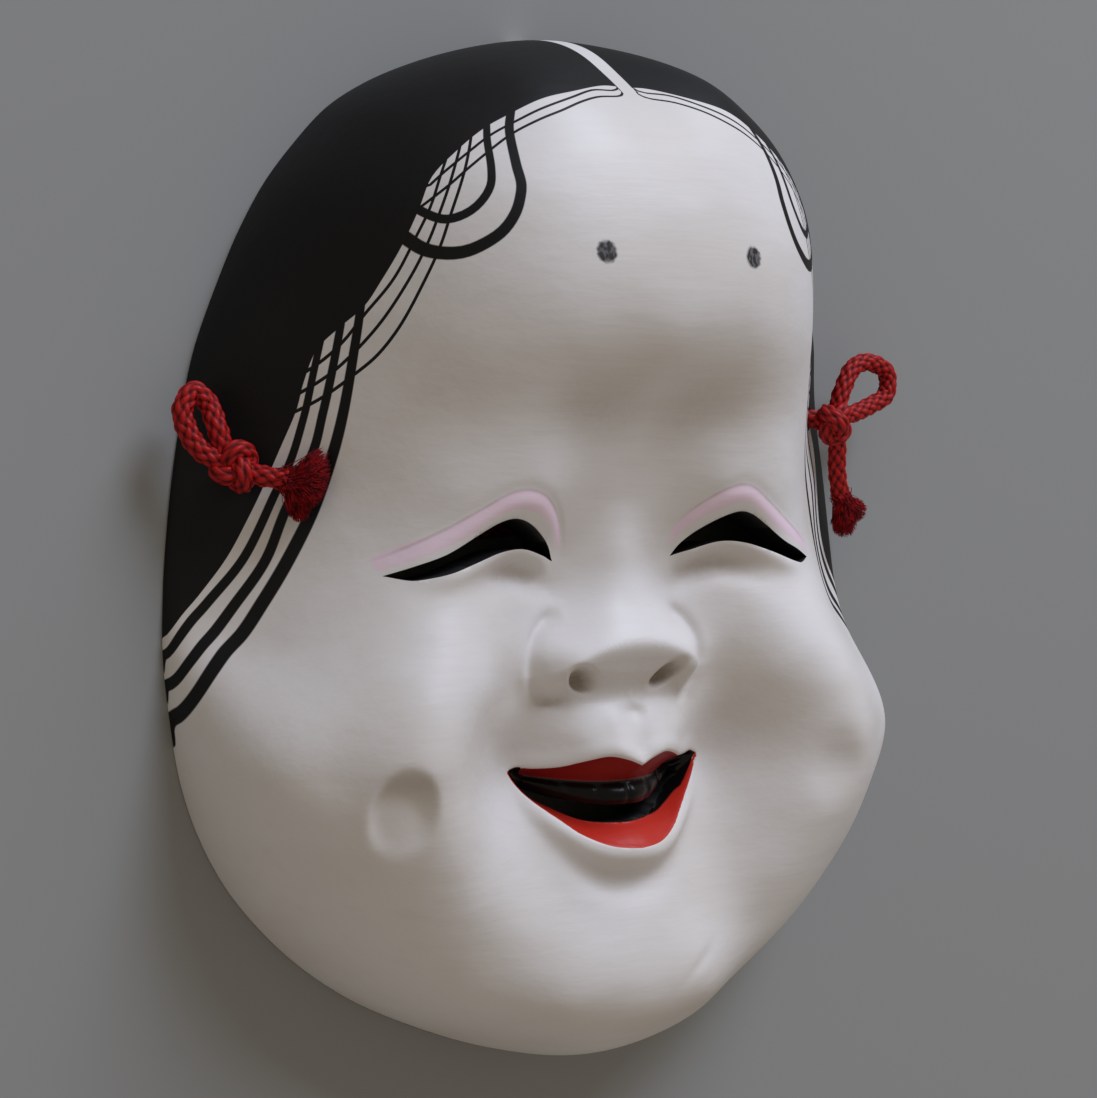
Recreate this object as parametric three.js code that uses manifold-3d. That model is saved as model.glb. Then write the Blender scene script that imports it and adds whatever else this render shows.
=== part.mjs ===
// Okame mask: a carved and painted wooden face shell with a red braided cord through its temples.
// Millimetres. The mask lies face up on its flat back rim: x to the viewer's right, y towards the
// crown, z out of the face. x = 0 is the plane of symmetry and z = 0 the plane of the back rim.
import * as THREE from 'three';
import { mergeVertices } from 'three/addons/utils/BufferGeometryUtils.js';
import Module from 'manifold-3d';

const wasm = await Module();
wasm.setup();

// Driving dimensions
const FACE_HEIGHT = 216.8;
const FACE_WIDTH = 172;
const FACE_DEPTH = 59.3;
const WALL = 9;
const RIM_WIDTH = 8;
const MOUTH_BACKING = 5;
const MOUTH_DEPTH = 6.6;
const CORD_DIAMETER = 4;
const HOLE_CLEARANCE = 0.8;
const KNOT_SIZE = 10.4;
const SEATING_GAP = 0.35;

// Faceting
const SECTORS = 80;
const OUTER_RINGS = 36;
const INNER_RINGS = 9;
const CORD_SIDES = 8;

// The face is drawn at this size and follows the driving dimensions from there.
const DRAWN = { height: 216.8, width: 172, depth: 59.3 };
const SX = FACE_WIDTH / DRAWN.width;
const SY = FACE_HEIGHT / DRAWN.height;
const SZ = FACE_DEPTH / DRAWN.depth;

// Outline of the back rim, right half, crown to chin
const RIM = [
  [0, 108.4], [14, 106.8], [27, 103.2], [38, 98.6], [47, 93], [55, 85], [61.5, 77], [67.2, 67.5],
  [73, 55], [78, 42], [81.5, 26], [84, 10], [85.5, -5], [86, -18], [85, -31], [83, -44.5],
  [79, -56.5], [74, -66], [68, -74], [59.3, -83], [47, -92.3], [32.5, -99.8], [16, -105.8], [0, -108.4],
];
// The hand-carved outline leans a little to the right, above and below.
const LEAN = 1.8;
// How squarely the side of the mask turns down to the rim
const SHOULDER = 7;

// Heights of the broad form at named places of the right half: x, y, z
const LANDMARKS = {
  crown: [0, 98, 33.5], crownSide: [25, 97, 35], hairline: [0, 91, 43], hairlineSide: [33, 90, 38],
  foreheadTop: [0, 75, 54.5], foreheadTopSide: [30, 75, 50], foreheadCorner: [52, 72, 33],
  forehead: [0, 58, 59], browDot: [18, 58, 58], forelock: [44.5, 58, 44], templeTop: [60, 58, 25],
  browMiddle: [0, 42, 57], brow: [22, 42, 55], browSide: [44, 42, 43.5], temple: [62, 42, 22.5],
  templeEdge: [71, 42, 13], hollowMiddle: [0, 27, 45], hollow: [20, 27, 46], hollowSide: [40, 27, 41],
  templeSide: [58, 27, 25.5], earTop: [72, 27, 9.5], glabella: [0, 13, 37.5], lidSwell: [22, 13, 42],
  lidSide: [42, 13, 38], ear: [60, 13, 22], earEdge: [74, 12, 9], nasion: [0, 1, 34.5],
  innerEye: [15, 0, 32.4], underLid: [30, 0, 36], outerEye: [52.5, -3, 30.8], sideEye: [66, 0, 17.5],
  noseSide: [15, -15, 32.5], cheekTop: [32, -14, 38], cheekTopSide: [48, -14, 39.5],
  cheekbone: [62, -14, 28], jawTop: [77, -15, 11], noseBase: [0, -29, 37], noseWing: [24, -26, 32.5],
  cheekInner: [36, -26, 40.5], cheek: [52, -27, 44.5], cheekSide: [66, -27, 33.5],
  cheekEdge: [79, -27, 18.5], upperLip: [0, -37, 40.5], muzzle: [12, -37, 37.5], lips: [0, -47, 42],
  mouthCorner: [23.5, -43.5, 28], smile: [30.5, -37, 31.5], smileOuter: [39, -37, 39.5],
  dimple: [54, -42, 46], cheekFar: [68, -42, 36.5], cheekRim: [80, -42, 22], lowerLip: [0, -57, 41.3],
  lipSide: [17, -51, 31.6], smileLow: [27, -52, 31.5], pouch: [36, -52, 38], cheekLow: [46, -57, 42.5],
  jowlSide: [64, -58, 34.5], jowlRim: [74, -57, 22.5], lipTrough: [0, -66, 38.5],
  troughSide: [19, -63, 33.5], jowl: [38, -70, 37.5], jaw: [56, -72, 31], chinTop: [0, -78, 40.5],
  chinSide: [18, -78, 38], chinCrease: [32, -81, 34], jawLow: [45, -83, 29], chin: [0, -90, 41],
  chinLowSide: [18, -92, 38.5], jawCorner: [33, -91, 29], chinTip: [0, -101, 32],
};

// Lines of the mouth and the eyes, y over x, right half
const LIP_TOP = [[0, -43.2], [3, -41.9], [7, -41], [11, -41.8], [15, -43], [19, -43.3], [22, -43], [23.6, -43.6]];
const LIP_UNDER = [[0, -46.8], [6, -46.8], [11, -46.4], [17.4, -45.4], [21, -44.4], [23.6, -43.9]];
const TEETH_EDGE = [[0, -51.6], [6, -51.4], [11, -50.4], [16, -48.4], [20, -46.2], [23.6, -44]];
const GAP_EDGE = [[0, -55.4], [6.5, -55], [9.8, -54.1], [14.7, -51.4], [19.6, -48.2], [22.4, -45.6], [23.6, -44]];
const LIP_BOTTOM = [
  [0, -59.8], [5, -59.3], [8, -58.4], [12, -56.2], [15, -53.6], [18.5, -50.6], [21, -48.2], [22.8, -45.8],
  [23.6, -44.2],
];
const SLIT_TOP = [
  [14.8, -1.5], [16.5, 1.2], [19.5, 3.8], [24, 6.4], [28, 7.5], [31.5, 6.8], [36, 4.4], [42, 1], [48, -1.2],
  [53.3, -3],
];
const SLIT_BOTTOM = [
  [14.8, -1.5], [18, -0.4], [24.5, 1.3], [30.3, 0.9], [37, -1.1], [42, -2.8], [46, -3.7], [49, -4], [53.3, -3],
];
const LID_CREASE = [
  [12.8, 2], [15.5, 6.6], [20.5, 11], [25.5, 13], [30, 12.6], [36, 9.4], [42, 6], [50, 2], [56, -0.6],
];
const MOUTH_HALF = 23.6;
const GAP_HALF = 20;

// Small helpers
const bell = (v, width) => Math.exp(-0.5 * (v / width) ** 2);
const clamp = (v, low, high) => Math.min(high, Math.max(low, v));
const ramp = (a, b, v) => {
  const t = clamp((v - a) / (b - a), 0, 1);
  return t * t * (3 - 2 * t);
};

// A smooth line through points with rising x; outside them it keeps its end value.
function line(points, at) {
  const last = points.length - 1;
  const q = clamp(at, points[0][0], points[last][0]);
  let i = 0;
  while (i < last - 1 && q > points[i + 1][0]) i += 1;
  const slope = (k) => {
    const a = points[Math.max(k - 1, 0)];
    const b = points[Math.min(k + 1, last)];
    return (b[1] - a[1]) / (b[0] - a[0]);
  };
  const h = points[i + 1][0] - points[i][0];
  const s = (q - points[i][0]) / h;
  return (2 * s ** 3 - 3 * s ** 2 + 1) * points[i][1] + (s ** 3 - 2 * s ** 2 + s) * h * slope(i)
    + (3 * s ** 2 - 2 * s ** 3) * points[i + 1][1] + (s ** 3 - s ** 2) * h * slope(i + 1);
}

// Distance from the middle to the rim, over the angle from the chin (-90) up to the crown (90)
const QUARTER = Math.PI / 2;
const rimByAngle = RIM.map(([x, y]) => [Math.atan2(y, x), Math.hypot(x, y)]).reverse();
const rimLine = [
  [-Math.PI - rimByAngle[1][0], rimByAngle[1][1]],
  ...rimByAngle,
  [Math.PI - rimByAngle.at(-2)[0], rimByAngle.at(-2)[1]],
];
function rimRadius(angle) {
  const fromRight = Math.atan2(Math.sin(angle), Math.abs(Math.cos(angle)));
  const lean = LEAN * Math.tanh(3 * Math.cos(angle)) * Math.sin(angle) ** 2;
  return line(rimLine, clamp(fromRight, -QUARTER, QUARTER)) + lean;
}
const rimShare = (x, y) => Math.hypot(x, y) / rimRadius(Math.atan2(y, x));
const shoulder = (share) => Math.sqrt(Math.max(0, 1 - share ** SHOULDER));

// The broad form: a thin sheet bent smoothly through the landmarks, the same on both sides
const SHEET_UNIT = 50;
const SHEET_EASE = 0.0005;
const bend = (squared) => (squared > 1e-9 ? 0.5 * squared * Math.log(squared) : 0);
const pins = Object.values(LANDMARKS).map(([x, y, z]) => ({
  x: x / SHEET_UNIT,
  y: y / SHEET_UNIT,
  height: z / shoulder(rimShare(x, y)),
}));
const pull = (pin, x, y) => bend((x - pin.x) ** 2 + (y - pin.y) ** 2)
  + (pin.x > 0 ? bend((x + pin.x) ** 2 + (y - pin.y) ** 2) : 0);

function solveLinear(rows, right) {
  const n = right.length;
  const m = rows.map((row, i) => [...row, right[i]]);
  for (let c = 0; c < n; c += 1) {
    let best = c;
    for (let r = c + 1; r < n; r += 1) if (Math.abs(m[r][c]) > Math.abs(m[best][c])) best = r;
    [m[c], m[best]] = [m[best], m[c]];
    for (let r = 0; r < n; r += 1) {
      if (r === c) continue;
      const k = m[r][c] / m[c][c];
      for (let j = c; j <= n; j += 1) m[r][j] -= k * m[c][j];
    }
  }
  return m.map((row, i) => row[n] / row[i]);
}

function bendSheet() {
  const rows = pins.map((pin, i) => [
    ...pins.map((other, j) => pull(other, pin.x, pin.y) + (i === j ? SHEET_EASE : 0)),
    1,
    pin.y,
  ]);
  const sides = pins.map((pin) => (pin.x > 0 ? 2 : 1));
  rows.push([...sides, 0, 0]);
  rows.push([...pins.map((pin, i) => sides[i] * pin.y), 0, 0]);
  return solveLinear(rows, [...pins.map((pin) => pin.height), 0, 0]);
}
const sheet = bendSheet();
function broadForm(x, y) {
  const px = x / SHEET_UNIT;
  const py = y / SHEET_UNIT;
  const flat = sheet[pins.length] + sheet[pins.length + 1] * py;
  return pins.reduce((sum, pin, i) => sum + sheet[i] * pull(pin, px, py), flat);
}

// The nose: a low ridge that widens into a broad tip, with an undercut base, wings and nostril dents
const NOSE_RISE = [
  [-31, 0.2], [-26, 9.2], [-22, 10], [-18, 9.6], [-14, 7.6], [-10, 5.2], [-5, 3.2], [0, 2], [5, 0.8], [10, 0],
];
const NOSE_HALF = [[-31, 17.9], [-24, 18.4], [-20, 17.5], [-16, 14.5], [-12, 11.3], [-8, 9], [-4, 7.2], [0, 6.2], [10, 5]];
const NOSE_SQUARE = [[-31, 4.5], [-20, 3.6], [-14, 2.8], [-8, 2.2], [10, 2]];
const NOSE_MIDDLE = -0.7;
const NOSTRIL = { left: -12.3, right: 8.4, y: -25.4, tilt: 0.55, long: 3.6, short: 1.9, depth: 3.4 };
function nostril(x, y) {
  const out = x < 0 ? NOSTRIL.left - x : x - NOSTRIL.right;
  const along = out * Math.cos(NOSTRIL.tilt) + (y - NOSTRIL.y) * Math.sin(NOSTRIL.tilt);
  const aside = (y - NOSTRIL.y) * Math.cos(NOSTRIL.tilt) - out * Math.sin(NOSTRIL.tilt);
  return NOSTRIL.depth * Math.exp(-(((along / NOSTRIL.long) ** 2 + (aside / NOSTRIL.short) ** 2) ** 1.6));
}
function nose(x, y) {
  const u = Math.abs(x - NOSE_MIDDLE);
  const across = Math.exp(-((u / line(NOSE_HALF, y)) ** line(NOSE_SQUARE, y)));
  const tip = -18 - 0.018 * Math.min(u, 19) ** 2;
  const base = -30.4;
  const under = clamp((tip - y) / (tip - base), 0, 1);
  const body = line(NOSE_RISE, y) * across * (1 - 0.25 * ramp(0, 1, under) - 0.75 * under);
  const wing = 1.6 * Math.exp(-(((u - 15.4) / 4) ** 2) - ((y + 23) / 5.5) ** 2);
  const ring = Math.hypot((u - 12.4) / 8.6, (y + 21.5) / 9.2);
  const groove = -1.3 * bell(ring - 1, 0.11) * ramp(14, 18, u) * ramp(-33, -29, y);
  return body + wing + groove - nostril(x, y);
}

// The mouth: lips that slope in to a recess, with the row of teeth set back in it
function mouth(u, y) {
  const top = line(LIP_TOP, u);
  const bottom = line(LIP_BOTTOM, u);
  if (u < MOUTH_HALF && y < top && y > bottom) {
    const deep = 1 + (MOUTH_DEPTH - 1) * ramp(MOUTH_HALF, 17, u);
    const fromTop = clamp((top - y) / Math.max(top - line(LIP_UNDER, u), 0.3), 0, 1);
    const fromBottom = clamp((y - bottom) / Math.max(line(GAP_EDGE, u) - bottom, 0.3), 0, 1);
    return -deep * Math.min(fromTop ** 0.8, fromBottom ** 0.9);
  }
  const roll = 1.5 * bell(y - (bottom - 2.4), 1.9) * ramp(24.5, 16, u);
  const ridge = 0.5 * bell(y - (top + 1.4), 1.3) * ramp(24.5, 18, u);
  const trough = -1.6 * Math.exp(-((u / 13) ** 3)) * bell(y - (bottom - 7.6), 2.6);
  return roll + ridge + trough;
}

// The eyes: a swelling upper lid, a lip along the lower edge of the slit and a hollow under it
function eye(u, y) {
  const low = line(SLIT_BOTTOM, u);
  const middle = 0.5 * (line(LID_CREASE, u) + line(SLIT_TOP, u));
  const lid = 1.3 * bell(y - middle, 2.2) * ramp(13, 18, u) * ramp(56, 46, u);
  const lip = 1.6 * bell(y - (low - 0.6), 1.7) * ramp(14.5, 19, u) * ramp(50, 40, u);
  const hollow = -2.4 * Math.exp(-((((u - 25) / 9.5) ** 2) ** 1.3)) * bell(y - (low - 5), 2.3);
  return lid + lip + hollow;
}

const DIMPLES = [
  { x: -56, y: -48.5, half: 6.2, tall: 8.2, low: 0.6, high: 5, edge: 4 },
  { x: 50, y: -49, half: 6.4, tall: 8.6, low: 0.2, high: 3.2, edge: 2.4 },
];
function dimple({ x, y, half, tall, low, high, edge }, px, py) {
  const away = Math.hypot((px - x) / half, (py - y) / tall);
  const rise = clamp(0.5 + 0.5 * (py - y) / tall, 0, 1);
  return -(low + (high - low) * rise) * Math.exp(-(away ** edge));
}

// Height of the face over a place of the drawn face
function faceHeight(x, y) {
  const u = Math.abs(x);
  const dents = DIMPLES.reduce((sum, one) => sum + dimple(one, x, y), 0);
  return broadForm(x, y) * shoulder(rimShare(x, y)) + nose(x, y) + mouth(u, y) + eye(u, y) + dents;
}

// Height of the hollow's ceiling: the broad form alone, thinner by the wall, and thicker behind the mouth
function hollowHeight(x, y, share) {
  const backing = MOUTH_BACKING * Math.exp(-((x / 24) ** 2) - ((y + 50) / 13) ** 2);
  return Math.max(broadForm(x, y) * SZ - WALL - backing, 4) * shoulder(share);
}

// The shell: a face surface and a hollow surface, each of rings around a middle, joined by the rim.
// The face's rings close in on the upper lip, where the carving is finest.
const FACE_MIDDLE = -30;
const RING_CROWDING = 0.4;
const spread = (part) => part - (RING_CROWDING * Math.sin(2 * Math.PI * part)) / (2 * Math.PI);
function ringPoints(rings, point) {
  const points = [point(0, 0)];
  for (let k = 1; k <= rings; k += 1) {
    for (let s = 0; s < SECTORS; s += 1) points.push(point(spread(k / rings), (2 * Math.PI * s) / SECTORS));
  }
  return points;
}
function outerPoint(share, angle) {
  const rim = rimRadius(angle);
  const x = share * rim * Math.cos(angle);
  const y = FACE_MIDDLE + share * (rim * Math.sin(angle) - FACE_MIDDLE);
  return [x * SX, y * SY, share === 1 ? 0 : faceHeight(x, y) * SZ];
}
function innerPoint(share, angle) {
  const rim = rimRadius(angle);
  const edgeX = rim * Math.cos(angle) * SX;
  const edgeY = rim * Math.sin(angle) * SY;
  const inset = 1 - RIM_WIDTH / Math.hypot(edgeX, edgeY);
  const x = edgeX * inset * share;
  const y = edgeY * inset * share;
  return [x, y, share === 1 ? 0 : hollowHeight(x / SX, y / SY, share)];
}

// Each four-sided patch is split along its flatter diagonal, so ridges and grooves stay clean.
function ringTriangles(points, rings, first, flip) {
  const faces = [];
  const add = (a, b, c) => faces.push(flip ? [a, c, b] : [a, b, c]);
  const height = (i) => points[i - first][2];
  for (let s = 0; s < SECTORS; s += 1) {
    const t = (s + 1) % SECTORS;
    add(first, first + 1 + s, first + 1 + t);
    for (let k = 0; k < rings - 1; k += 1) {
      const a = first + 1 + k * SECTORS;
      const b = a + SECTORS;
      if (Math.abs(height(a + s) - height(b + t)) < Math.abs(height(b + s) - height(a + t))) {
        add(a + s, b + s, b + t);
        add(a + s, b + t, a + t);
      } else {
        add(a + s, b + s, a + t);
        add(b + s, b + t, a + t);
      }
    }
  }
  return faces;
}
function shellGeometry() {
  const outer = ringPoints(OUTER_RINGS, outerPoint);
  const inner = ringPoints(INNER_RINGS, innerPoint);
  const faces = [
    ...ringTriangles(outer, OUTER_RINGS, 0, false),
    ...ringTriangles(inner, INNER_RINGS, outer.length, true),
  ];
  const outerRim = 1 + (OUTER_RINGS - 1) * SECTORS;
  const innerRim = outer.length + 1 + (INNER_RINGS - 1) * SECTORS;
  for (let s = 0; s < SECTORS; s += 1) {
    const t = (s + 1) % SECTORS;
    faces.push([outerRim + s, innerRim + s, innerRim + t]);
    faces.push([outerRim + s, innerRim + t, outerRim + t]);
  }
  const geometry = new THREE.BufferGeometry();
  geometry.setAttribute('position', new THREE.Float32BufferAttribute([...outer, ...inner].flat(), 3));
  geometry.setIndex(faces.flat());
  return geometry;
}

// Solids for cutting
function solidOf(geometry) {
  const bare = geometry.clone();
  bare.deleteAttribute('normal');
  bare.deleteAttribute('uv');
  const merged = mergeVertices(bare, 1e-4);
  return new wasm.Manifold(new wasm.Mesh({
    numProp: 3,
    vertProperties: new Float32Array(merged.attributes.position.array),
    triVerts: new Uint32Array(merged.index.array),
  }));
}
function geometryOf(solid) {
  const mesh = solid.getMesh();
  const geometry = new THREE.BufferGeometry();
  geometry.setAttribute('position', new THREE.BufferAttribute(new Float32Array(mesh.vertProperties), 3));
  geometry.setIndex(new THREE.BufferAttribute(new Uint32Array(mesh.triVerts), 1));
  return geometry;
}

// A prism through the whole shell, between a top line and a bottom line over x
const CUT_STEPS = 14;
function slotCutter(top, bottom, from, to, side) {
  const upper = [];
  const lower = [];
  for (let i = 0; i <= CUT_STEPS; i += 1) {
    const x = from + ((to - from) * i) / CUT_STEPS;
    upper.push(new THREE.Vector2(side * x * SX, line(top, Math.abs(x)) * SY));
    lower.push(new THREE.Vector2(side * x * SX, (line(bottom, Math.abs(x)) - 0.02) * SY));
  }
  const shape = new THREE.Shape([...upper, ...lower.reverse()]);
  return solidOf(new THREE.ExtrudeGeometry(shape, { depth: FACE_DEPTH * 2, bevelEnabled: false }));
}

// The two string holes. Each runs square to the face, from its mouth in a temple to the hollow.
const HOLES = { left: [-72.2, 19.8], right: [72, 27.5] };
const HOLE_REACH = 14;
const HOLE_SIDES = 12;
const holeMouth = ([x, y]) => new THREE.Vector3(x * SX, y * SY, faceHeight(x, y) * SZ);
function outward([x, y]) {
  const away = 1.5;
  const across = (faceHeight(x + away, y) - faceHeight(x - away, y)) / (2 * away);
  return new THREE.Vector3((-across * SZ) / SX, 0, 1).normalize();
}
function holeCutter(hole) {
  const radius = CORD_DIAMETER / 2 + HOLE_CLEARANCE;
  const cutter = new THREE.CylinderGeometry(radius, radius, 2 * HOLE_REACH, HOLE_SIDES);
  cutter.applyQuaternion(new THREE.Quaternion().setFromUnitVectors(new THREE.Vector3(0, 1, 0), outward(hole)));
  const middle = holeMouth(hole);
  cutter.translate(middle.x, middle.y, middle.z);
  return solidOf(cutter);
}

function maskGeometry() {
  let solid = solidOf(shellGeometry());
  const first = SLIT_TOP[0][0];
  const last = SLIT_TOP.at(-1)[0];
  for (const side of [-1, 1]) solid = solid.subtract(slotCutter(SLIT_TOP, SLIT_BOTTOM, first, last, side));
  for (const hole of Object.values(HOLES)) solid = solid.subtract(holeCutter(hole));
  solid = solid.subtract(slotCutter(TEETH_EDGE, GAP_EDGE, -GAP_HALF, GAP_HALF, 1));
  return geometryOf(solid);
}

// The cord. Its routes are points along its middle.
const CORD_STEP = 8;
const REST = CORD_DIAMETER / 2 + SEATING_GAP;
function tube(points) {
  const path = new THREE.CatmullRomCurve3(points.map((p) => new THREE.Vector3(...p)), false, 'centripetal');
  const section = new THREE.Shape();
  for (let i = 0; i < CORD_SIDES; i += 1) {
    const a = (2 * Math.PI * i) / CORD_SIDES;
    const corner = [(CORD_DIAMETER / 2) * Math.cos(a), (CORD_DIAMETER / 2) * Math.sin(a)];
    if (i === 0) section.moveTo(...corner);
    else section.lineTo(...corner);
  }
  const steps = Math.max(6, Math.round(path.getLength() / CORD_STEP));
  return new THREE.ExtrudeGeometry(section, { steps, bevelEnabled: false, extrudePath: path });
}
const follow = ([x, y, z]) => [x * SX, y * SY, z * SZ];
const lie = ([x, y]) => [x * SX, y * SY, REST];
const inHole = (hole, depth) => holeMouth(hole).addScaledVector(outward(hole), -depth).toArray();
const BACK_ROUTE = [
  [-59, 19.8], [-52, 17], [-38, 10], [-20, 5], [0, 6], [20, 12], [36, 19], [50, 25], [59, 27.5],
];
const LEFT_LOOP = [
  [-82.3, 22, 12], [-84.8, 26.2, 11], [-85.4, 30, 10.6], [-82.9, 33.4, 10.6], [-80.2, 31, 11.2],
  [-79.2, 26, 13],
];
const RIGHT_LOOP = [
  [78.9, 33.6, 13.3], [82.9, 38.9, 12.6], [87.8, 40.4, 12.2], [93.6, 38, 12], [93.4, 33, 12], [88.2, 30.4, 12.4],
  [83.3, 28.8, 13.2],
];
const LEFT_TAIL = [[-72.1, 16.9, 17.5], [-70, 16.4, 18.9], [-68, 15.9, 20.2]];
const RIGHT_TAIL = [[78, 21.3, 12.4], [79, 15.6, 11], [80.9, 9.4, 9.9]];

function lump(centre, radii, turn) {
  const ball = new THREE.SphereGeometry(1, 12, 8);
  ball.scale(...radii);
  ball.rotateZ(turn);
  ball.translate(...centre);
  return ball;
}

// Each knot rests on the face over its hole and keeps the cord from slipping back through.
const KNOT_STRETCH = 1.15;
function knot(hole, shift, turn) {
  const radius = KNOT_SIZE / 2;
  const seat = holeMouth(hole).addScaledVector(outward(hole), radius + 2 * SEATING_GAP);
  return lump([seat.x, seat.y + shift, seat.z], [radius, radius * KNOT_STRETCH, radius], turn);
}

// Materials
const paintedWood = new THREE.MeshStandardMaterial({ color: 0xe6e2e0, roughness: 0.45, metalness: 0 });
const redBraid = new THREE.MeshStandardMaterial({ color: 0xa0141a, roughness: 0.6, metalness: 0 });

const group = new THREE.Group();
function place(name, geometry, material) {
  const mesh = new THREE.Mesh(geometry, material);
  mesh.name = name;
  group.add(mesh);
}

place('mask', maskGeometry(), paintedWood);
place('cord_back', tube([
  inHole(HOLES.left, -SEATING_GAP), inHole(HOLES.left, 6), ...BACK_ROUTE.map(lie), inHole(HOLES.right, 6),
  inHole(HOLES.right, -SEATING_GAP),
]), redBraid);
place('cord_left_knot', knot(HOLES.left, -1, 0.4), redBraid);
place('cord_left_loop', tube(LEFT_LOOP.map(follow)), redBraid);
place('cord_left_tail', tube(LEFT_TAIL.map(follow)), redBraid);
place('cord_left_tuft', lump(follow([-64.3, 14.9, 23]), [3.2, 7.2, 3.2], -0.25), redBraid);
place('cord_right_knot', knot(HOLES.right, 0, 0.1), redBraid);
place('cord_right_loop', tube(RIGHT_LOOP.map(follow)), redBraid);
place('cord_right_tail', tube(RIGHT_TAIL.map(follow)), redBraid);
place('cord_right_tuft', lump(follow([83.8, 3.8, 9.3]), [4.4, 4.4, 3.4], 0.15), redBraid);

export default group;
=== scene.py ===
"""Okame mask: a carved and painted wooden face with a red braided cord through its temples.

Shapes are worked out in millimetres in the mask's own frame and turned into metres when the
meshes are made. x is to the viewer's right, y towards the crown, z out of the face.
"""

import math

import bpy
import numpy as np
from mathutils import Matrix, Vector


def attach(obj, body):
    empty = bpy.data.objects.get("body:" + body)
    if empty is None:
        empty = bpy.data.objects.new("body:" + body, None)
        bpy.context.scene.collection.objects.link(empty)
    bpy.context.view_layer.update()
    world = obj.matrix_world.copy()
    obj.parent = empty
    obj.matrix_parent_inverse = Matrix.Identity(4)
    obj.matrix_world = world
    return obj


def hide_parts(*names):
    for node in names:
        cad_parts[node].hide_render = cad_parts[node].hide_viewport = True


MM = 0.001
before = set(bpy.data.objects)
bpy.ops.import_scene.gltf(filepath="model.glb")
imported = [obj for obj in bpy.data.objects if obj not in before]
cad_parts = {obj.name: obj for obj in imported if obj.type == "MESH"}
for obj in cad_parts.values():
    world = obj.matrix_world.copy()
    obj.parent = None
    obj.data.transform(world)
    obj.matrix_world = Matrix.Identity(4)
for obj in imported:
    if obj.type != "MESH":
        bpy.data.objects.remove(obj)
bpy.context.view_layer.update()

# Sizes shared with the solids
WALL = 9.0
RIM_WIDTH = 8.0
MOUTH_BACKING = 5.0
MOUTH_DEPTH = 6.6
CORD_DIAMETER = 4.0
HOLE_CLEARANCE = 0.8
KNOT_SIZE = 10.4
SEATING_GAP = 0.35
HOLES = {"left": (-72.2, 19.8), "right": (72.0, 27.5)}

# The face as a height over x and y
RIM = [
    (0, 108.4), (14, 106.8), (27, 103.2), (38, 98.6), (47, 93), (55, 85), (61.5, 77), (67.2, 67.5),
    (73, 55), (78, 42), (81.5, 26), (84, 10), (85.5, -5), (86, -18), (85, -31), (83, -44.5),
    (79, -56.5), (74, -66), (68, -74), (59.3, -83), (47, -92.3), (32.5, -99.8), (16, -105.8),
    (0, -108.4),
]
LEAN = 1.8
SHOULDER = 7.0
LANDMARKS = [
    (0, 98, 33.5), (25, 97, 35), (0, 91, 43), (33, 90, 38), (0, 75, 54.5), (30, 75, 50),
    (52, 72, 33), (0, 58, 59), (18, 58, 58), (44.5, 58, 44), (60, 58, 25), (0, 42, 57),
    (22, 42, 55), (44, 42, 43.5), (62, 42, 22.5), (71, 42, 13), (0, 27, 45), (20, 27, 46),
    (40, 27, 41), (58, 27, 25.5), (72, 27, 9.5), (0, 13, 37.5), (22, 13, 42), (42, 13, 38),
    (60, 13, 22), (74, 12, 9), (0, 1, 34.5), (15, 0, 32.4), (30, 0, 36), (52.5, -3, 30.8),
    (66, 0, 17.5), (15, -15, 32.5), (32, -14, 38), (48, -14, 39.5), (62, -14, 28), (77, -15, 11),
    (0, -29, 37), (24, -26, 32.5), (36, -26, 40.5), (52, -27, 44.5), (66, -27, 33.5),
    (79, -27, 18.5), (0, -37, 40.5), (12, -37, 37.5), (0, -47, 42), (23.5, -43.5, 28),
    (30.5, -37, 31.5), (39, -37, 39.5), (54, -42, 46), (68, -42, 36.5), (80, -42, 22),
    (0, -57, 41.3), (17, -51, 31.6), (27, -52, 31.5), (36, -52, 38), (46, -57, 42.5),
    (64, -58, 34.5), (74, -57, 22.5), (0, -66, 38.5), (19, -63, 33.5), (38, -70, 37.5),
    (56, -72, 31), (0, -78, 40.5), (18, -78, 38), (32, -81, 34), (45, -83, 29), (0, -90, 41),
    (18, -92, 38.5), (33, -91, 29), (0, -101, 32),
]
LIP_TOP = [(0, -43.2), (3, -41.9), (7, -41), (11, -41.8), (15, -43), (19, -43.3), (22, -43), (23.6, -43.6)]
LIP_UNDER = [(0, -46.8), (6, -46.8), (11, -46.4), (17.4, -45.4), (21, -44.4), (23.6, -43.9)]
TEETH_EDGE = [(0, -51.6), (6, -51.4), (11, -50.4), (16, -48.4), (20, -46.2), (23.6, -44)]
GAP_EDGE = [(0, -55.4), (6.5, -55), (9.8, -54.1), (14.7, -51.4), (19.6, -48.2), (22.4, -45.6), (23.6, -44)]
LIP_BOTTOM = [
    (0, -59.8), (5, -59.3), (8, -58.4), (12, -56.2), (15, -53.6), (18.5, -50.6), (21, -48.2),
    (22.8, -45.8), (23.6, -44.2),
]
SLIT_TOP = [
    (14.8, -1.5), (16.5, 1.2), (19.5, 3.8), (24, 6.4), (28, 7.5), (31.5, 6.8), (36, 4.4), (42, 1),
    (48, -1.2), (53.3, -3),
]
SLIT_BOTTOM = [
    (14.8, -1.5), (18, -0.4), (24.5, 1.3), (30.3, 0.9), (37, -1.1), (42, -2.8), (46, -3.7),
    (49, -4), (53.3, -3),
]
LID_CREASE = [
    (12.8, 2), (15.5, 6.6), (20.5, 11), (25.5, 13), (30, 12.6), (36, 9.4), (42, 6), (50, 2), (56, -0.6),
]
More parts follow.
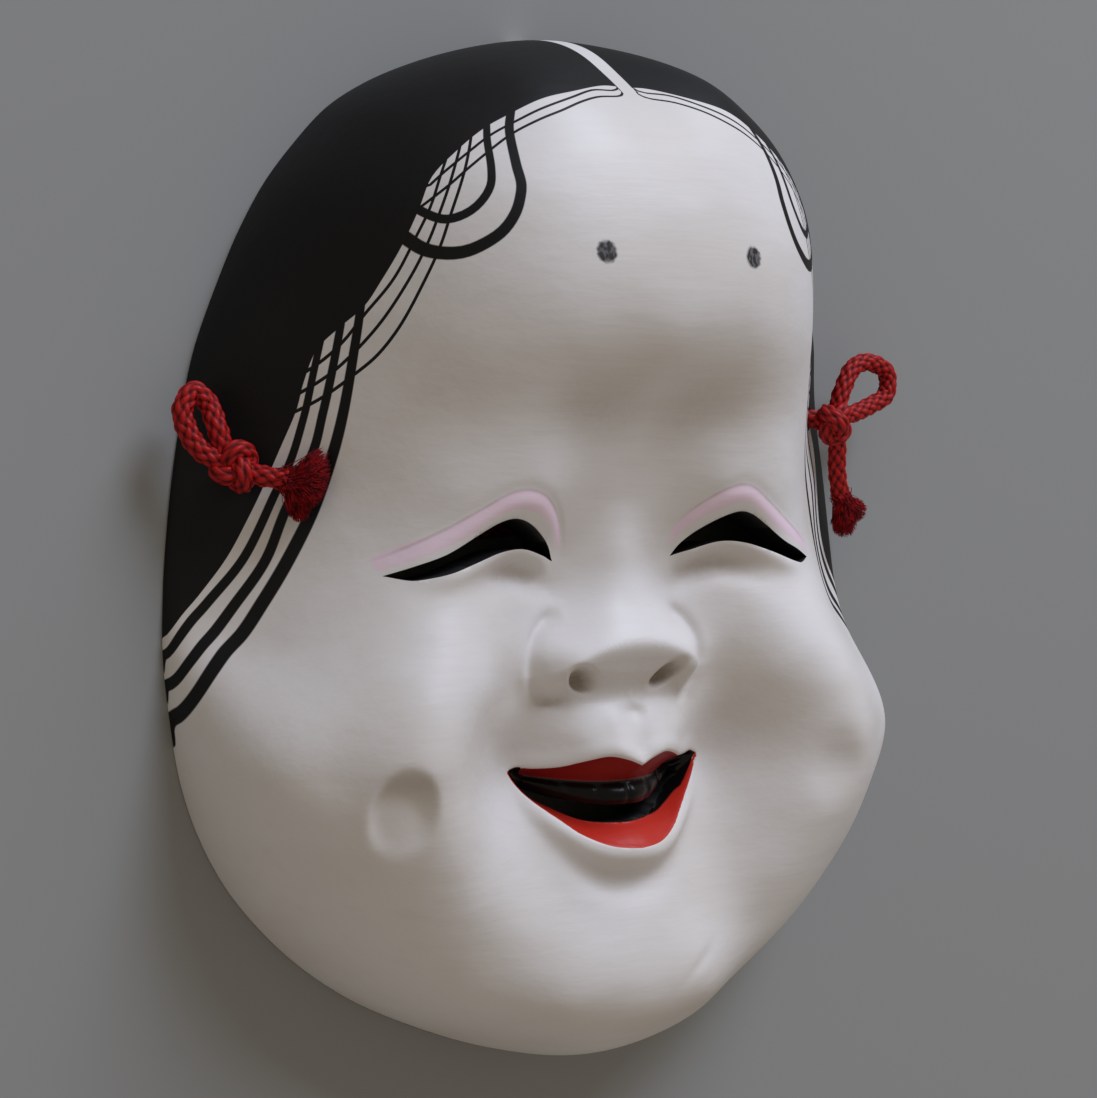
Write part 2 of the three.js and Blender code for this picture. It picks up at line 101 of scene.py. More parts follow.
BAND_LOW = [
    (13.6, -0.4), (16.2, 3.8), (19.5, 6.6), (24, 8.6), (28, 9.4), (32.5, 8), (38.5, 4.2), (48, 0),
    (55.5, -2.6),
]
MOUTH_HALF = 23.6
GAP_HALF = 20.0


def line(points, at):
    """A smooth line through points with rising x. Outside them it keeps its end value."""
    p = np.array(points, float)
    x, v = p[:, 0], p[:, 1]
    m = np.zeros_like(v)
    m[1:-1] = (v[2:] - v[:-2]) / (x[2:] - x[:-2])
    m[0] = (v[1] - v[0]) / (x[1] - x[0])
    m[-1] = (v[-1] - v[-2]) / (x[-1] - x[-2])
    q = np.clip(at, x[0], x[-1])
    i = np.clip(np.searchsorted(x, q, side="right") - 1, 0, len(x) - 2)
    h = x[i + 1] - x[i]
    s = (q - x[i]) / h
    start = (2 * s**3 - 3 * s**2 + 1) * v[i] + (s**3 - 2 * s**2 + s) * h * m[i]
    return start + (3 * s**2 - 2 * s**3) * v[i + 1] + (s**3 - s**2) * h * m[i + 1]


def bell(v, width):
    return np.exp(-0.5 * (v / width) ** 2)


def ramp(a, b, v):
    t = np.clip((v - a) / (b - a), 0, 1)
    return t * t * (3 - 2 * t)


def rim_radius(angle):
    by_angle = [(math.atan2(y, x), math.hypot(x, y)) for x, y in RIM][::-1]
    below = (-math.pi - by_angle[1][0], by_angle[1][1])
    above = (math.pi - by_angle[-2][0], by_angle[-2][1])
    from_right = np.arctan2(np.sin(angle), np.abs(np.cos(angle)))
    lean = LEAN * np.tanh(3 * np.cos(angle)) * np.sin(angle) ** 2
    return line([below] + by_angle + [above], from_right) + lean


def rim_share(x, y):
    return np.hypot(x, y) / rim_radius(np.arctan2(y, x))


def shoulder(share):
    return np.sqrt(np.clip(1 - share**SHOULDER, 0, 1))


SHEET_UNIT = 50.0
SHEET_EASE = 0.0005


def bend(squared):
    return np.where(squared > 1e-9, 0.5 * squared * np.log(np.maximum(squared, 1e-9)), 0)


def bend_sheet():
    """The thin sheet through the landmarks, the same on both sides: (pins, weights)."""
    pins = []
    for x, y, z in LANDMARKS:
        height = z / shoulder(rim_share(x, y))
        pins.append((x / SHEET_UNIT, y / SHEET_UNIT, height))
        if x:
            pins.append((-x / SHEET_UNIT, y / SHEET_UNIT, height))
    pins = np.array(pins, float)
    n = len(pins)
    apart = ((pins[:, None, :2] - pins[None, :, :2]) ** 2).sum(2)
    rows = np.zeros((n + 3, n + 3))
    rows[:n, :n] = bend(apart) + SHEET_EASE * np.eye(n)
    rows[:n, n] = 1
    rows[:n, n + 1:] = pins[:, :2]
    rows[n, :n] = 1
    rows[n + 1:, :n] = pins[:, :2].T
    return pins, np.linalg.solve(rows, np.append(pins[:, 2], [0, 0, 0]))


PINS, WEIGHTS = bend_sheet()


def broad_form(x, y):
    px = np.asarray(x, float) / SHEET_UNIT
    py = np.asarray(y, float) / SHEET_UNIT
    out = WEIGHTS[-3] + WEIGHTS[-2] * px + WEIGHTS[-1] * py
    for (qx, qy, _), weight in zip(PINS, WEIGHTS):
        out = out + weight * bend((px - qx) ** 2 + (py - qy) ** 2)
    return out


NOSE_RISE = [
    (-31, 0.2), (-26, 9.2), (-22, 10), (-18, 9.6), (-14, 7.6), (-10, 5.2), (-5, 3.2), (0, 2), (5, 0.8),
    (10, 0),
]
NOSE_HALF = [
    (-31, 17.9), (-24, 18.4), (-20, 17.5), (-16, 14.5), (-12, 11.3), (-8, 9), (-4, 7.2), (0, 6.2), (10, 5),
]
NOSE_SQUARE = [(-31, 4.5), (-20, 3.6), (-14, 2.8), (-8, 2.2), (10, 2)]
NOSE_MIDDLE = -0.7
NOSE_TIP = -18.0
NOSE_BASE = -30.4
NOSTRIL = {"left": -12.3, "right": 8.4, "y": -25.2, "tilt": 0.55, "long": 3.3, "short": 1.9, "depth": 4.2}


def nostril_place(x, y):
    """How far into a nostril a place lies: 1 at its middle, 0 away from it."""
    c, s = math.cos(NOSTRIL["tilt"]), math.sin(NOSTRIL["tilt"])
    out = np.where(x < 0, NOSTRIL["left"] - x, x - NOSTRIL["right"])
    along = out * c + (y - NOSTRIL["y"]) * s
    aside = (y - NOSTRIL["y"]) * c - out * s
    return np.exp(-((along / NOSTRIL["long"]) ** 2 + (aside / NOSTRIL["short"]) ** 2) ** 1.6)


def nose(x, y):
    """The nose with its wings, the groove round them and the nostrils."""
    u = np.abs(x - NOSE_MIDDLE)
    across = np.exp(-((u / line(NOSE_HALF, y)) ** line(NOSE_SQUARE, y)))
    tip = NOSE_TIP - 0.018 * np.minimum(u, 19) ** 2
    under = np.clip((tip - y) / (tip - NOSE_BASE), 0, 1)
    body = line(NOSE_RISE, y) * across * (1 - 0.25 * ramp(0, 1, under) - 0.75 * under)
    wing = 1.6 * np.exp(-(((u - 15.4) / 4) ** 2) - ((y + 23) / 5.5) ** 2)
    ring = np.hypot((u - 12.4) / 8.6, (y + 21.5) / 9.2)
    groove = -1.3 * bell(ring - 1, 0.12) * ramp(12.4, 17, u) * ramp(-34, -30, y)
    return body + wing + groove - NOSTRIL["depth"] * nostril_place(x, y)


TOOTH_WIDTH = 6.2
TOOTH_GROOVE = 0.35
TOOTH_SWELL = 1.9


def mouth(u, y):
    """The recess of the mouth with its teeth, and the forms round the lips."""
    top, bottom = line(LIP_TOP, u), line(LIP_BOTTOM, u)
    shade, gap = line(LIP_UNDER, u), line(GAP_EDGE, u)
    inside = (u < MOUTH_HALF) & (y < top) & (y > bottom)
    deep = 1 + (MOUTH_DEPTH - 1) * ramp(MOUTH_HALF, 17, u)
    from_top = np.clip((top - y) / np.maximum(top - shade, 0.3), 0, 1)
    from_bottom = np.clip((y - bottom) / np.maximum(gap - bottom, 0.3), 0, 1)
    recess = deep * np.minimum(from_top**0.8, from_bottom**1.25)
    between = np.abs((u / TOOTH_WIDTH) % 1 - 0.5) * 2
    down = np.clip((shade - y) / np.maximum(shade - line(TEETH_EDGE, u), 0.3), 0, 1)
    swell = TOOTH_SWELL * np.sin(np.pi * 0.86 * down) * (1 - 0.25 * between**4)
    groove = TOOTH_GROOVE * bell(between - 1, 0.1) * ramp(0, 0.2, down)
    tooth = (ramp(MOUTH_HALF, 18, u) * swell - groove) * ramp(gap, gap + 0.8, y)
    roll = 1.5 * bell(y - (bottom - 2.4), 1.9) * ramp(24.5, 16, u)
    ridge = 0.5 * bell(y - (top + 1.4), 1.3) * ramp(24.5, 18, u)
    trough = -1.6 * np.exp(-((u / 13) ** 3)) * bell(y - (bottom - 7.6), 2.6)
    channel = -0.7 * bell(u, 2.2) * ramp(-30, -33, y) * ramp(-44, -40, y)
    beside = 0.35 * bell(u - 4.4, 1.8) * ramp(-30, -34, y) * ramp(-43, -40, y)
    return np.where(inside, tooth - recess, roll + ridge + trough + channel + beside)


def eye(u, y):
    """The fold and bulge of the upper lid, and the lip and hollow under the slit."""
    low = line(SLIT_BOTTOM, u)
    crease = line(LID_CREASE, u)
    middle = 0.5 * (crease + line(SLIT_TOP, u))
    fold = -0.5 * bell(y - crease, 1.1) * ramp(12, 16.5, u) * ramp(57, 49, u)
    lid = 0.8 * bell(y - middle, 2.4) * ramp(13, 18, u) * ramp(56, 46, u)
    lip = 1.6 * bell(y - (low - 0.6), 1.7) * ramp(14.5, 19, u) * ramp(50, 40, u)
    hollow = -2.4 * np.exp(-((((u - 25) / 9.5) ** 2) ** 1.3)) * bell(y - (low - 5), 2.3)
    return fold + lid + lip + hollow


# The carving of the mouth is averaged over these offsets, which rounds its edges
ROUNDING = [(0, 0), (0.4, 0), (-0.4, 0), (0, 0.4), (0, -0.4)]
# Each dimple: x, y, half width, half height, depth at its foot and at its head, edge sharpness
DIMPLES = [(-56.5, -48.6, 5.3, 7.8, 0.6, 5.0, 6), (50, -49, 6.4, 8.6, 0.2, 3.2, 2.4)]


def dimple(x, y, middle_x, middle_y, half, tall, low, high, edge):
    away = np.hypot((x - middle_x) / half, (y - middle_y) / tall)
    rise = np.clip(0.5 + 0.5 * (y - middle_y) / tall, 0, 1)
    return -(low + (high - low) * rise) * np.exp(-(away**edge))


def face_height(x, y):
    u = np.abs(x)
    form = broad_form(x, y) * shoulder(rim_share(x, y))
    lips = np.mean([mouth(u + dx, y + dy) for dx, dy in ROUNDING], axis=0)
    dimples = sum(dimple(x, y, *one) for one in DIMPLES)
    return form + nose(x, y) + lips + eye(u, y) + dimples


UNEVEN = 0.1
CHIP = (0.9, -32.6)
CHIN_LINE = (15, -85.5)


def carved_height(x, y):
    """The face with the slight unevenness that the knife and the brush leave."""
    uneven = UNEVEN * np.sin(x / 5.1 + 1.7 * np.sin(y / 13)) * np.sin(y / 6.3 + 1.3 * np.sin(x / 11))
    chip_x, chip_y = CHIP
    chip = 0.6 * np.exp(-(((x - chip_x) / 2.1) ** 2) - ((y - chip_y) / 1.3) ** 2)
    dx, dy = x - CHIN_LINE[0], y - CHIN_LINE[1]
    chin_line = 0.5 * np.exp(-((0.6 * dx - 0.8 * dy) ** 2) / 1.6 - ((0.8 * dx + 0.6 * dy) / 5) ** 2)
    return face_height(x, y) - chip - chin_line + uneven * shoulder(rim_share(x, y))


def hollow_height(x, y, share):
    """The inside of the shell, with more wood left behind the mouth."""
    backing = MOUTH_BACKING * np.exp(-((x / 24) ** 2) - ((y + 50) / 13) ** 2)
    return np.maximum(broad_form(x, y) - WALL - backing, 4) * shoulder(share)


def outward(place):
    """The direction straight out of the face over a hole."""
    x, y = place
    away = 1.5
    across = float(face_height(x + away, y) - face_height(x - away, y)) / (2 * away)
    return Vector((-across, 0, 1)).normalized()


def hole_mouth(place):
    return Vector((place[0], place[1], float(face_height(*place))))


# The camera
CAMERA = {"turn": 34.0, "rise": 1.78, "roll": -1.18, "away": 524.6, "aim_z": 10.0}
FOCAL_PX = 2468.4
SHIFT_PX = (-2.75, 0.72)
PHOTO_WIDTH = 1097
SENSOR_WIDTH = 36


def add_camera():
    """The photograph's view: turned to one side, a little raised and a little rolled."""
    turn, rise, roll = (math.radians(CAMERA[k]) for k in ("turn", "rise", "roll"))
    back = Vector((-math.sin(turn) * math.cos(rise), math.sin(rise), math.cos(turn) * math.cos(rise)))
    level = Vector((0, 1, 0)).cross(back).normalized()
    upright = back.cross(level)
    right = math.cos(roll) * level + math.sin(roll) * upright
    up = -math.sin(roll) * level + math.cos(roll) * upright
    data = bpy.data.cameras.new("camera")
    data.sensor_fit = "HORIZONTAL"
    data.sensor_width = SENSOR_WIDTH
    data.lens = FOCAL_PX / PHOTO_WIDTH * SENSOR_WIDTH
    data.shift_x = SHIFT_PX[0] / PHOTO_WIDTH
    data.shift_y = SHIFT_PX[1] / PHOTO_WIDTH
    camera = bpy.data.objects.new("camera", data)
    bpy.context.scene.collection.objects.link(camera)
    place = Matrix((right, up, back)).transposed().to_4x4()
    place.translation = (back * CAMERA["away"] + Vector((0, 0, CAMERA["aim_z"]))) * MM
    camera.matrix_world = place
    bpy.context.scene.camera = camera


add_camera()


# Meshes and materials
def add_mesh(name, points, faces, materials, smooth=True):
    data = bpy.data.meshes.new(name)
    data.from_pydata((np.asarray(points, float) * MM).tolist(), [], faces)
    data.update()
    for material in materials:
        data.materials.append(material)
    if smooth:
        data.polygons.foreach_set("use_smooth", [True] * len(data.polygons))
    thing = bpy.data.objects.new(name, data)
    bpy.context.scene.collection.objects.link(thing)
    return thing


def set_attribute(data, name, values):
    """A number or a vector for each point, read by the shaders."""
    values = np.asarray(values, np.float32)
    kind = "FLOAT" if values.ndim == 1 else "FLOAT_VECTOR"
    attribute = data.attributes.new(name, kind, "POINT")
    attribute.data.foreach_set("value" if values.ndim == 1 else "vector", values.ravel())


class Shader:
    """A node material with short names for the nodes used here."""

    def __init__(self, name):
        self.material = bpy.data.materials.new(name)
        self.material.use_nodes = True
        self.tree = self.material.node_tree
        self.surface = self.tree.nodes["Principled BSDF"]

    def node(self, kind, **settings):
        made = self.tree.nodes.new(kind)
        for key, value in settings.items():
            setattr(made, key, value)
        return made

    def link(self, value, socket):
        if hasattr(value, "is_output"):
            self.tree.links.new(value, socket)
        else:
            socket.default_value = value

    def math(self, operation, a, b=0.0, c=0.0):
        made = self.node("ShaderNodeMath", operation=operation)
        for value, socket in zip((a, b, c), made.inputs):
            self.link(value, socket)
        return made.outputs[0]

    def times(self, a, b):
        return self.math("MULTIPLY", a, b)

    def step(self, value, low, high):
        """A smooth rise from 0 to 1 between two values."""
        made = self.node("ShaderNodeMapRange", interpolation_type="SMOOTHSTEP")
        for each, socket in zip((value, low, high), made.inputs):
            self.link(each, socket)
        return made.outputs[0]

    def mix(self, amount, a, b):
        """Colours mixed from a to b."""
        made = self.node("ShaderNodeMix", data_type="RGBA")
        self.link(amount, made.inputs[0])
        for colour, socket in ((a, made.inputs[6]), (b, made.inputs[7])):
            self.link((*colour, 1) if isinstance(colour, tuple) else colour, socket)
        return made.outputs[2]

    def blend(self, amount, a, b):
        """Numbers mixed from a to b."""
        return self.math("MULTIPLY_ADD", amount, self.math("SUBTRACT", b, a), a)

    def attribute(self, name):
        return self.node("ShaderNodeAttribute", attribute_name=name)

    def parts(self, name):
        """The three numbers of a vector attribute."""
        made = self.node("ShaderNodeSeparateXYZ")
        self.tree.links.new(self.attribute(name).outputs["Vector"], made.inputs[0])
        return made.outputs

    def noise(self, scale, stretch=(1, 1, 1), detail=2.0, rough=0.5):
        where = self.node("ShaderNodeTexCoord").outputs["Object"]
        mapping = self.node("ShaderNodeMapping")
        mapping.inputs["Scale"].default_value = stretch
        self.tree.links.new(where, mapping.inputs["Vector"])
        made = self.node("ShaderNodeTexNoise")
        self.tree.links.new(mapping.outputs[0], made.inputs["Vector"])
        for key, value in (("Scale", scale), ("Detail", detail), ("Roughness", rough)):
            made.inputs[key].default_value = value
        return made.outputs["Fac"]

    def bump(self, height, distance, strength=1.0):
        made = self.node("ShaderNodeBump")
        made.inputs["Strength"].default_value = strength
        made.inputs["Distance"].default_value = distance
        self.link(height, made.inputs["Height"])
        self.tree.links.new(made.outputs[0], self.surface.inputs["Normal"])

    def finish(self, colour, roughness, **constants):
        self.link((*colour, 1) if isinstance(colour, tuple) else colour, self.surface.inputs["Base Color"])
        self.link(roughness, self.surface.inputs["Roughness"])
        for key, value in constants.items():
            self.surface.inputs[key.replace("_", " ")].default_value = value
        return self.material


WHITE = (0.79, 0.765, 0.755)
WHITE_WARM = (0.73, 0.69, 0.655)
INK = (0.003, 0.003, 0.0032)
RED = (0.55, 0.026, 0.014)
RED_SHADED = (0.26, 0.012, 0.01)
LILAC = (0.86, 0.67, 0.77)
CREASE_BROWN = (0.30, 0.18, 0.19)
GRIME_AND_SHADE = (0.33, 0.265, 0.205)
CHARCOAL = (0.035, 0.035, 0.038)
BRUSHED = (0.62, 0.59, 0.56)
WOOD_DARK = (0.085, 0.042, 0.02)
WOOD_LIGHT = (0.16, 0.085, 0.042)
WOOD_STAIN = (0.05, 0.026, 0.014)
SOOT = (0.006, 0.006, 0.006)
SOOT_BROWN = (0.022, 0.018, 0.015)
BRAID_GROOVE_SHADE = (0.09, 0.0, 0.002)
BRAID_RED = (0.45, 0.007, 0.006)
BRAID_THREAD = (0.66, 0.032, 0.016)
FIBRE_DEEP = (0.1, 0.0, 0.002)
FIBRE_RED = (0.34, 0.004, 0.007)
FLOOR_GREY = (0.305, 0.308, 0.3)


def paint_material():
    s = Shader("painted_face")
    hair, lock_out, lock_in = s.parts("hair")
    a_outer, a_inner, parting = s.parts("lines_a")
    band, crease, dot = s.parts("eyes")
    lip_up, lip_low, teeth = s.parts("lips")
    grime_and_shade, drawn, _ = s.parts("soil_and_shade")
    cloud = s.noise(28, (1, 1.4, 1), 3)
    brush = s.noise(260, (0.12, 1, 1), 3, 0.6)
    speck = s.noise(900)

    # The white ground with its brush marks, and painted shade with some dirt in the hollows
    colour = s.mix(s.step(cloud, 0.35, 0.75), WHITE, WHITE_WARM)
    colour = s.mix(s.times(s.step(brush, 0.5, 0.75), 0.12), colour, BRUSHED)
    colour = s.mix(s.times(grime_and_shade, s.blend(speck, 0.6, 1.2)), colour, GRIME_AND_SHADE)

    # The lilac lids, worn in places, and the line of the crease
    uneven = s.math("MULTIPLY_ADD", s.noise(500), 0.5, -0.25)
    worn = s.step(s.noise(650, (0.4, 1, 1), 2), 0.66, 0.74)
    kept = s.math("SUBTRACT", 1.0, s.times(worn, 0.5))
    lilac = s.times(s.step(s.math("ADD", band, uneven), -0.15, 0.2), kept)
    colour = s.mix(s.times(lilac, 0.9), colour, LILAC)
    patchy = s.times(drawn, s.blend(s.noise(420), 0.25, 0.75))
    crease_line = s.step(s.math("ABSOLUTE", crease), 0.6, 0.0)
    colour = s.mix(s.times(crease_line, s.times(patchy, 0.6)), colour, CREASE_BROWN)

    # The dabbed brow spots
    fuzzy = s.math("ADD", dot, s.math("MULTIPLY_ADD", s.noise(1100), 0.8, -0.4))
    dabbed = s.blend(s.step(s.noise(1500, (1, 0.5, 1), 2), 0.36, 0.56), 0.84, 1.0)
    colour = s.mix(s.times(s.step(fuzzy, 2.5, 1.7), dabbed), colour, CHARCOAL)

    # The lips; the upper lip, which faces down, gets a darker red as painted shade
    upper, lower = s.step(lip_up, 0.0, 0.12), s.step(lip_low, 0.0, 0.12)
    red = s.math("MAXIMUM", upper, lower)
    colour = s.mix(upper, colour, RED_SHADED)
    colour = s.mix(lower, colour, RED)

    # The black of the hair, the strokes and the mouth
    ink = s.step(hair, -0.06, 0.06)
    strokes = [*s.parts("lines_b"), *s.parts("lines_c"), lock_out, lock_in, a_outer, a_inner]
    for stroke in strokes:
        ink = s.math("MAXIMUM", ink, s.step(s.math("ABSOLUTE", stroke), 1.12, 0.88))
    ink = s.times(ink, s.step(parting, -0.06, 0.06))
    lacquer = s.step(teeth, -0.1, 0.1)
    colour = s.mix(s.math("MAXIMUM", ink, lacquer), colour, INK)

    rough = s.blend(brush, 0.36, 0.52)
    rough = s.blend(ink, rough, 0.55)
    rough = s.blend(red, rough, 0.42)
    rough = s.blend(lacquer, rough, 0.24)
    height = s.math("ADD", s.times(brush, 0.6), s.times(s.noise(90, detail=3), 0.6))
    s.bump(height, 0.0004, 0.5)
    return s.finish(colour, rough, Specular_IOR_Level=0.26)


def teeth_material():
    s = Shader("black_teeth")
    s.bump(s.noise(60), 0.0003, 0.5)
    return s.finish(INK, 0.28, Specular_IOR_Level=0.22)


def wood_material():
    s = Shader("back_wood")
    grain = s.noise(160, (1, 0.05, 1), 4, 0.6)
    patch = s.noise(18, (1, 0.6, 1), 3)
    colour = s.mix(s.step(grain, 0.35, 0.7), WOOD_DARK, WOOD_LIGHT)
    colour = s.mix(s.times(s.step(patch, 0.45, 0.7), 0.5), colour, WOOD_STAIN)
    s.bump(grain, 0.0003, 0.6)
    return s.finish(colour, s.blend(grain, 0.5, 0.68))


def slit_material():
    s = Shader("slit_black")
    stain = s.noise(200, detail=3)
    colour = s.mix(s.step(stain, 0.5, 0.8), SOOT, SOOT_BROWN)
    s.bump(stain, 0.0003, 0.5)
    return s.finish(colour, s.blend(stain, 0.5, 0.7))


def braid_material():
    s = Shader("red_braid")
    relief = s.attribute("relief").outputs["Fac"]
    thread = s.noise(3000)
    # Darker red deep between the strands than on the crossings: painted shade from the weave's relief
    colour = s.mix(s.step(relief, 0.1, 0.95), BRAID_GROOVE_SHADE, BRAID_RED)
    colour = s.mix(s.times(s.step(thread, 0.5, 0.8), 0.35), colour, BRAID_THREAD)
    s.bump(thread, 0.00015, 0.6)
    return s.finish(colour, s.blend(relief, 0.75, 0.42), Specular_IOR_Level=0.24)


def fibre_material():
    s = Shader("red_fibre")
    patch = s.noise(700)
    colour = s.mix(s.step(patch, 0.35, 0.65), FIBRE_DEEP, FIBRE_RED)
    return s.finish(colour, s.blend(patch, 0.6, 0.8), Specular_IOR_Level=0.2)


# The cord
REST = CORD_DIAMETER / 2 + SEATING_GAP
BACK_ROUTE = [
    (-59, 19.8), (-52, 17), (-38, 10), (-20, 5), (0, 6), (20, 12), (36, 19), (50, 25), (59, 27.5),
]
LEFT_LOOP = [
    (-82.3, 22, 12), (-84.8, 26.2, 11), (-85.4, 30, 10.6), (-82.9, 33.4, 10.6), (-80.2, 31, 11.2),
    (-79.2, 26, 13),
]
RIGHT_LOOP = [
    (78.9, 33.6, 13.3), (82.9, 38.9, 12.6), (87.8, 40.4, 12.2), (93.6, 38, 12), (93.4, 33, 12),
    (88.2, 30.4, 12.4), (83.3, 28.8, 13.2),
]
KNOT_SHIFT = {"left": -1.0, "right": -0.9}
KNOT_TURN = {"left": 0.5, "right": 0.2}
LEFT_TAIL = [(-72.1, 16.9, 17.5), (-70, 16.4, 18.9), (-68, 15.9, 20.2)]
RIGHT_TAIL = [(78, 21.3, 12.4), (79, 15.6, 11), (80.9, 9.4, 9.9)]


def knot_centre(side):
    radius = KNOT_SIZE / 2
    seat = hole_mouth(HOLES[side]) + outward(HOLES[side]) * (radius + 2 * SEATING_GAP)
    return (seat.x, seat.y + KNOT_SHIFT[side], seat.z)


def behind_knot(side):
    return tuple(np.array(KNOTS[side]) - (0, 0, CORD_PASS))


def in_hole(side, depth):
    return tuple(hole_mouth(HOLES[side]) - outward(HOLES[side]) * depth)


KNOTS = {side: knot_centre(side) for side in HOLES}
CORD_PASS = 1.5
IN_WOOD = 6.0
PATH_STEP = 0.3


def smooth_path(points, step, closed=False):
    """Points a step apart along a smooth line through the given ones."""
    p = np.array(points, float)
    if closed:
        p = np.vstack([p[-1:], p, p[:2]])
    else:
        p = np.vstack([2 * p[0] - p[1], p, 2 * p[-1] - p[-2]])
    dense = []
    for i in range(1, len(p) - 2):
        a, b, c, d = p[i - 1:i + 3]
        gaps = [max(math.sqrt(np.linalg.norm(q - r)), 1e-3) for q, r in ((b, a), (c, b), (d, c))]
        m1 = (b - a) / gaps[0] - (c - a) / (gaps[0] + gaps[1]) + (c - b) / gaps[1]
        m2 = (c - b) / gaps[1] - (d - b) / (gaps[1] + gaps[2]) + (d - c) / gaps[2]
        m1, m2 = m1 * gaps[1], m2 * gaps[1]
        for s in np.linspace(0, 1, 40, endpoint=False):
            start = (2 * s**3 - 3 * s**2 + 1) * b + (s**3 - 2 * s**2 + s) * m1
            dense.append(start + (3 * s**2 - 2 * s**3) * c + (s**3 - s**2) * m2)
    dense.append(p[-2])
    dense = np.array(dense)
    along = np.concatenate([[0], np.cumsum(np.linalg.norm(np.diff(dense, axis=0), axis=1))])
    count = max(2, round(along[-1] / step) + 1)
    at = np.linspace(0, along[-1], count)
    return np.stack([np.interp(at, along, dense[:, k]) for k in range(3)], 1)


def frames(path, closed=False):
    """Two directions square to a path at each point, turned as little as possible along it."""
    ahead = np.roll(path, -1, 0) - np.roll(path, 1, 0)
    if not closed:
        ahead[0] = path[1] - path[0]
        ahead[-1] = path[-1] - path[-2]
    ahead /= np.linalg.norm(ahead, axis=1)[:, None]
    side = np.cross(ahead[0], (0.2, 0.3, 1.0))
    sides = []
    for direction in ahead:
        side = side - direction * side.dot(direction)
        side = side / np.linalg.norm(side)
        sides.append(side)
    sides = np.array(sides)
    return sides, np.cross(ahead, sides)


BRAID_PITCH = 19.0
BRAID_PAIRS = 6
BRAID_FULL = 2.2
BRAID_DEPTH = 0.55
BRAID_SIDES = 60
STRAND_ROUND = 2.4
END_RELIEF = 0.3


def braid_relief(around, along):
    """Height of the weave, 0 deep between the strands and 1 on top of a crossing.

    Half of the strands turn one way round the cord and half the other way, and each goes over
    one and under the next.
    """
    twist = 2 * math.pi * along / BRAID_PITCH
    one, other = BRAID_PAIRS * (around - twist), BRAID_PAIRS * (around + twist)
    one_odd = 1 - 2 * (np.round(one / (2 * np.pi)) % 2)
    other_odd = 1 - 2 * (np.round(other / (2 * np.pi)) % 2)
    one_up = one_odd * np.cos(other / 2)
    other_up = -other_odd * np.cos(one / 2)
    round_one = np.sqrt(np.clip(1 - (wrapped(one) / STRAND_ROUND) ** 2, 0, 1))
    round_other = np.sqrt(np.clip(1 - (wrapped(other) / STRAND_ROUND) ** 2, 0, 1))
    top = np.maximum(round_one * (0.55 + 0.45 * one_up), round_other * (0.55 + 0.45 * other_up))
    return np.clip(top, 0, 1)


def wrapped(angle):
    return (angle + np.pi) % (2 * np.pi) - np.pi


def tube_points(path, radius, turn, closed=False):
    """Rings of points round a path. The radius is a number for each point."""
    across, upward = frames(path, closed)
    cos, sin = np.cos(turn)[None, :, None], np.sin(turn)[None, :, None]
    return path[:, None] + radius[..., None] * (cos * across[:, None] + sin * upward[:, None])


def braid_mesh(path, closed):
    """Points, faces and the relief of a braided tube."""
    sides = BRAID_SIDES
    along = np.concatenate([[0], np.cumsum(np.linalg.norm(np.diff(path, axis=0), axis=1))])
    turn = np.linspace(0, 2 * np.pi, sides, endpoint=False)
    relief = braid_relief(turn[None, :], along[:, None])
    points = tube_points(path, BRAID_FULL - BRAID_DEPTH * (1 - relief), turn, closed)
    rings = len(path)
    faces = []
    for i in range(rings if closed else rings - 1):
        j = (i + 1) % rings
        for k in range(sides):
            m = (k + 1) % sides
            faces.append((i * sides + k, i * sides + m, j * sides + m, j * sides + k))
    points = points.reshape(-1, 3)
    relief = relief.ravel()
    if not closed:
        for ring, flip in ((0, True), (rings - 1, False)):
            edge = [(ring * sides + k, ring * sides + (k + 1) % sides) for k in range(sides)]
            faces += [(b, a, len(points)) if flip else (a, b, len(points)) for a, b in edge]
            points = np.vstack([points, path[ring]])
            relief = np.append(relief, END_RELIEF)
    return points, faces, relief


def add_braid(name, path, closed=False):
    points, faces, relief = braid_mesh(path, closed)
    piece = add_mesh(name, points, faces, [BRAID])
    set_attribute(piece.data, "relief", relief)
    return piece


def knot_path(centre, normal, turn, size):
    """An overhand knot drawn tight: three lobes that pass over and under each other."""
    scale = (size - CORD_DIAMETER) / 2 / 3
    t = np.linspace(0, 2 * np.pi, 120, endpoint=False)
    x = np.sin(t) + 2 * np.sin(2 * t)
    y = np.cos(t) - 2 * np.cos(2 * t)
    z = -1.5 * np.sin(3 * t)
    n = Vector(normal)
    up = (Vector((0, 1, 0)) - n * n.y).normalized()
    right = up.cross(n)
    c, s = math.cos(turn), math.sin(turn)
    flat = np.outer(c * x - s * y, right) + np.outer(1.1 * (s * x + c * y), up) + np.outer(z, n)
    return np.array(centre) + flat * scale


BRAID = braid_material()
FIBRE = fibre_material()

route = smooth_path(
    LEFT_TAIL[::-1] + [KNOTS["left"]] + LEFT_LOOP
    + [behind_knot("left"), in_hole("left", -SEATING_GAP), in_hole("left", IN_WOOD)]
    + [(x, y, REST) for x, y in BACK_ROUTE]
    + [in_hole("right", IN_WOOD), in_hole("right", -SEATING_GAP), behind_knot("right")]
    + RIGHT_LOOP + [KNOTS["right"]] + RIGHT_TAIL,
    PATH_STEP,
)
cord = add_braid("cord", route)
knots = {}
for side, turn in KNOT_TURN.items():
    path = knot_path(KNOTS[side], outward(HOLES[side]), turn, KNOT_SIZE)
    path = smooth_path(path, PATH_STEP, closed=True)[:-1]
    knots[side] = add_braid("knot_" + side, path, closed=True)


def add_tuft(name, root, lobes, seed):
    """The cord's frayed end: fine fibres that fan out from the braid into soft lumps."""
    rng = np.random.default_rng(seed)
    points, faces = [], []
    for lobe in lobes:
        fill_lobe(points, faces, rng, np.array(root, float), *lobe)
    return add_mesh(name, points, faces, [FIBRE])


